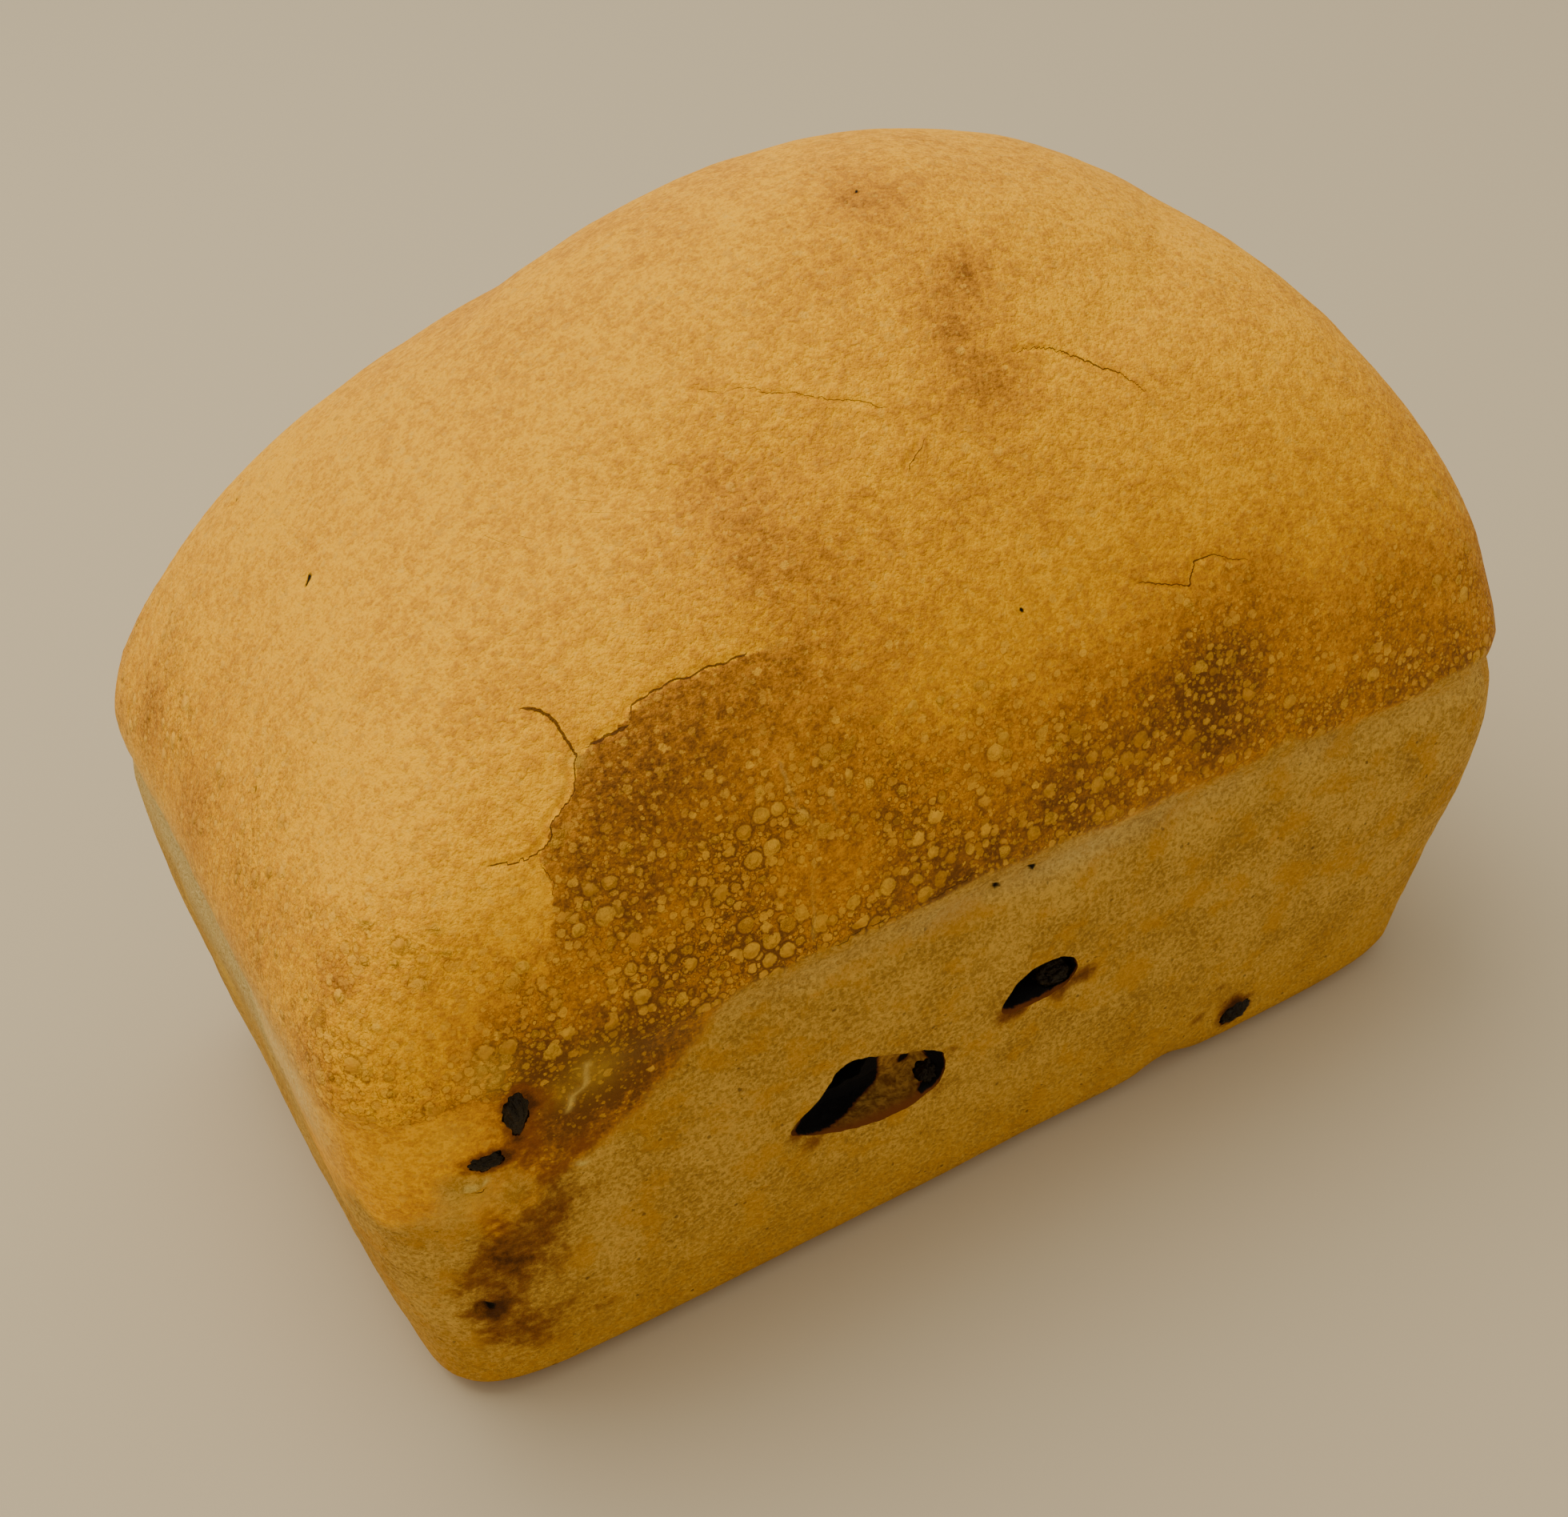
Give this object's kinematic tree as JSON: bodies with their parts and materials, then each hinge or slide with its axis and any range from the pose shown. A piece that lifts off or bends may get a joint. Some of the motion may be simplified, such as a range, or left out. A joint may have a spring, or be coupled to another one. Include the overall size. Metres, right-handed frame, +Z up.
{
  "type": "fruit loaf",
  "caption": "Small tin-baked fruit loaf: straight tapered walls, high domed blistered crust, torn hollow and raisins breaking through.",
  "frame": {"origin": "centre of the loaf's flat base, on the surface it stands on", "axes": "+X along the loaf, +Y away from the long side with the torn hollow, +Z up"},
  "size_m": [0.1562, 0.0945, 0.1156],
  "materials": {
    "crust": "matt golden brown crust",
    "raisin": "dark, wrinkled, slightly glossy"
  },
  "bodies": {
    "root": {"loaf": "crust", "raisin_corner_upper": "raisin", "raisin_corner_lower": "raisin", "raisin_in_tear": "raisin", "raisin_in_hole": "raisin", "raisin_at_base": "raisin"}
  },
  "joints": []
}
